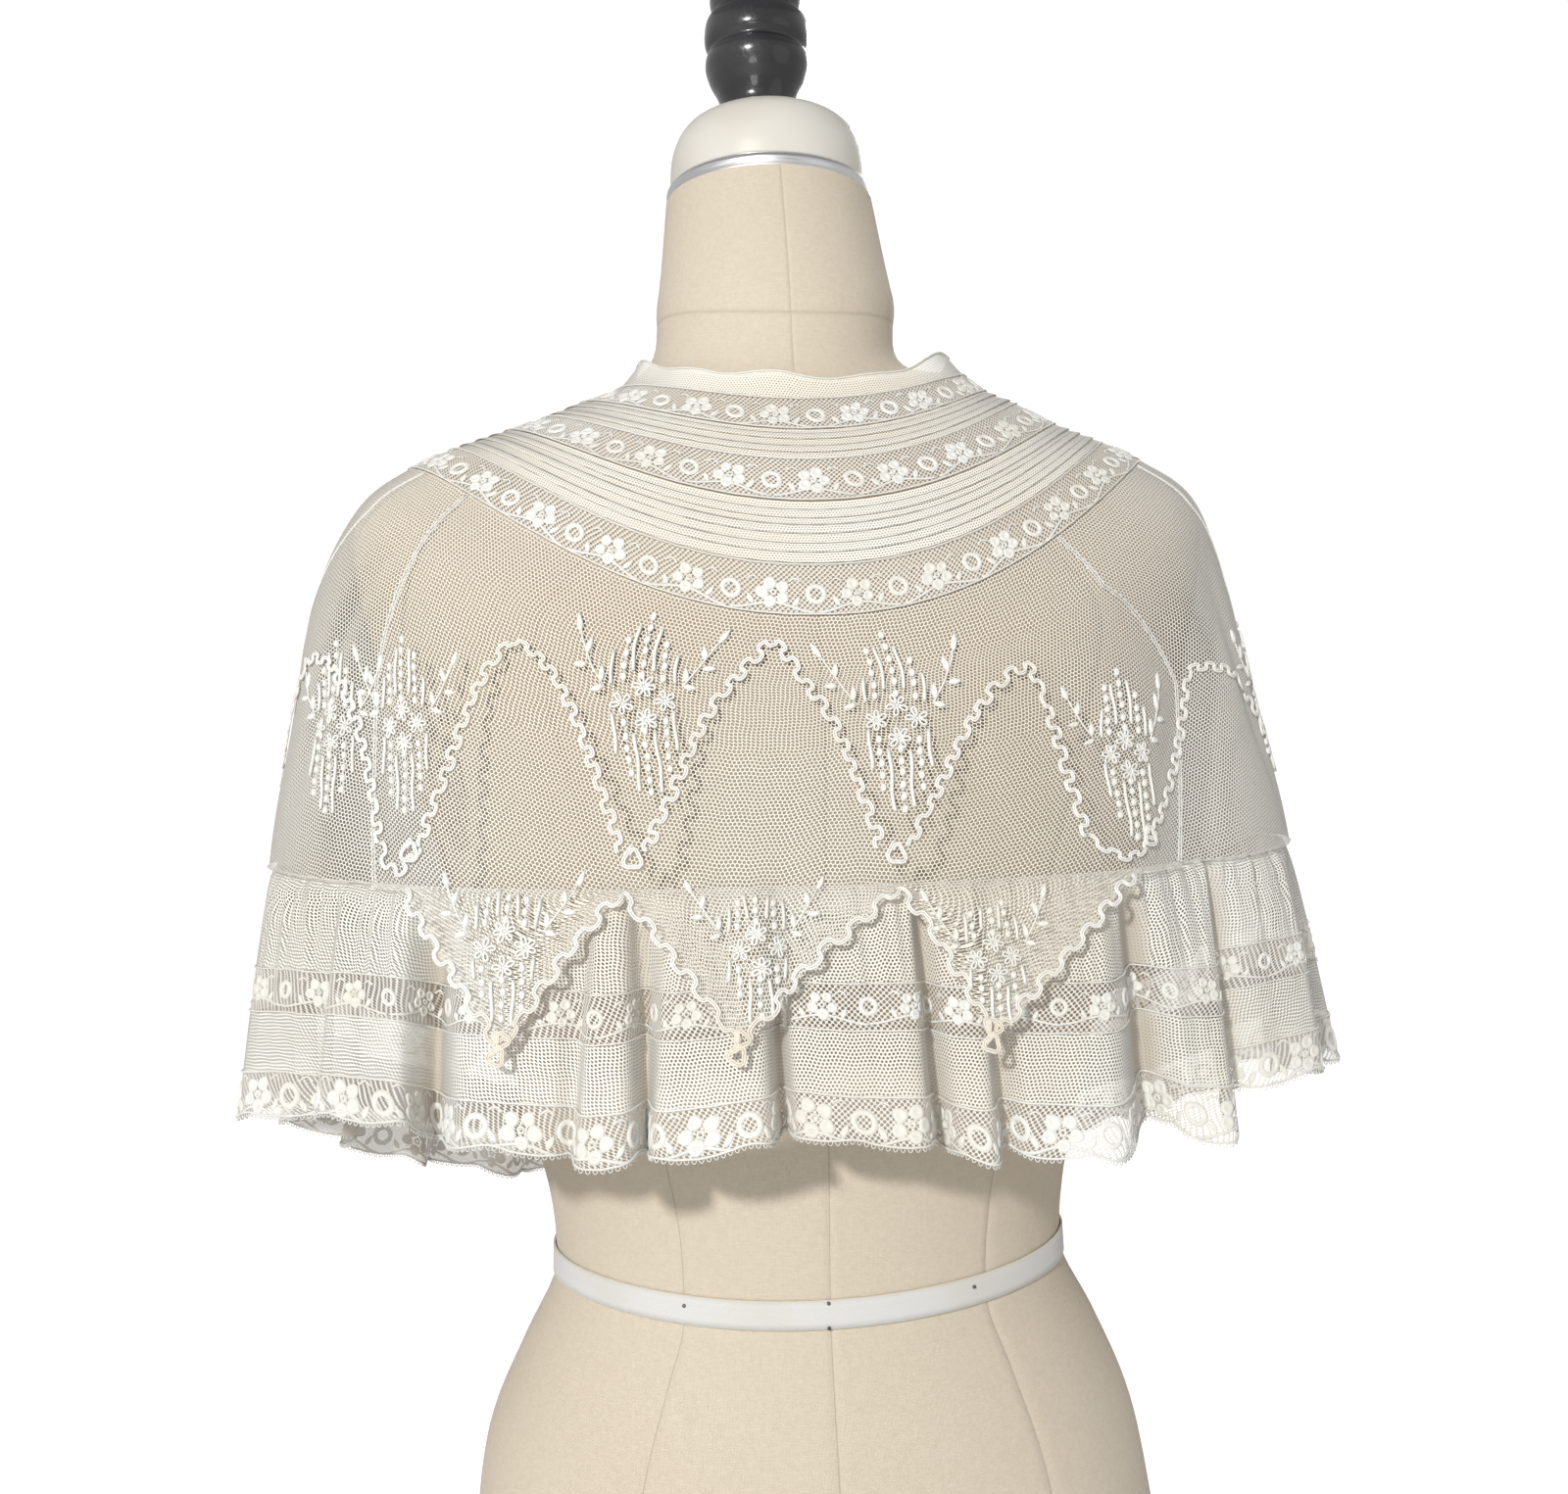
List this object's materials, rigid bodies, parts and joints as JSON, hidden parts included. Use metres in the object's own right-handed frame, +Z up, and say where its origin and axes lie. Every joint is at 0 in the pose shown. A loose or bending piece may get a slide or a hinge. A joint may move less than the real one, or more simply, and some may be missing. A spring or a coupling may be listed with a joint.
{
  "type": "lace cape on a dress form",
  "caption": "Short net and lace shoulder cape with braided vandyke flaps and a gathered ruffle, resting on a limbless tabletop dress form.",
  "frame": {"origin": "centre of the dress form's flat underside, where it stands on a table", "axes": "+Z up, -Y to the front of the wearer, +X to the wearer's left"},
  "size_m": [0.504, 0.3403, 0.8786],
  "materials": {
    "cotton_net": "fine ivory cotton net",
    "cotton_lace": "white cotton lace",
    "soutache_braid": "ivory soutache braid",
    "linen": "plain woven beige linen",
    "cotton_tape": "white twill tape",
    "aluminium": "satin",
    "cream_plastic": "satin cream",
    "black_lacquer": "gloss black lacquer"
  },
  "bodies": {
    "root": {"back_panel": "cotton_net", "braid_arch_1": "soutache_braid", "braid_arch_10": "soutache_braid", "braid_arch_11": "soutache_braid", "braid_arch_2": "soutache_braid", "braid_arch_3": "soutache_braid", "braid_arch_4": "soutache_braid", "braid_arch_5": "soutache_braid", "braid_arch_6": "soutache_braid", "braid_arch_7": "soutache_braid", "braid_arch_8": "soutache_braid", "braid_arch_9": "soutache_braid", "braid_edge_1": "soutache_braid", "braid_edge_2": "soutache_braid", "braid_edge_3": "soutache_braid", "braid_edge_4": "soutache_braid", "braid_edge_5": "soutache_braid", "braid_edge_6": "soutache_braid", "braid_edge_7": "soutache_braid", "braid_edge_8": "soutache_braid", "braid_edge_9": "soutache_braid", "form_cap": "cream_plastic", "form_finial": "black_lacquer", "form_neck_rim": "aluminium", "form_torso": "linen", "form_waist_tape": "cotton_tape", "front_left": "cotton_net", "front_right": "cotton_net", "lace_band_1": "cotton_lace", "lace_band_2": "cotton_lace", "lace_band_3": "cotton_lace", "neck_band": "cotton_net", "ruffle_edging": "cotton_lace", "ruffle_insertion": "cotton_lace", "ruffle_lower_net": "cotton_net", "ruffle_upper_net": "cotton_net", "side_gore_left": "cotton_net", "side_gore_right": "cotton_net", "tuck_strip_1": "cotton_net", "tuck_strip_2": "cotton_net"}
  },
  "joints": []
}
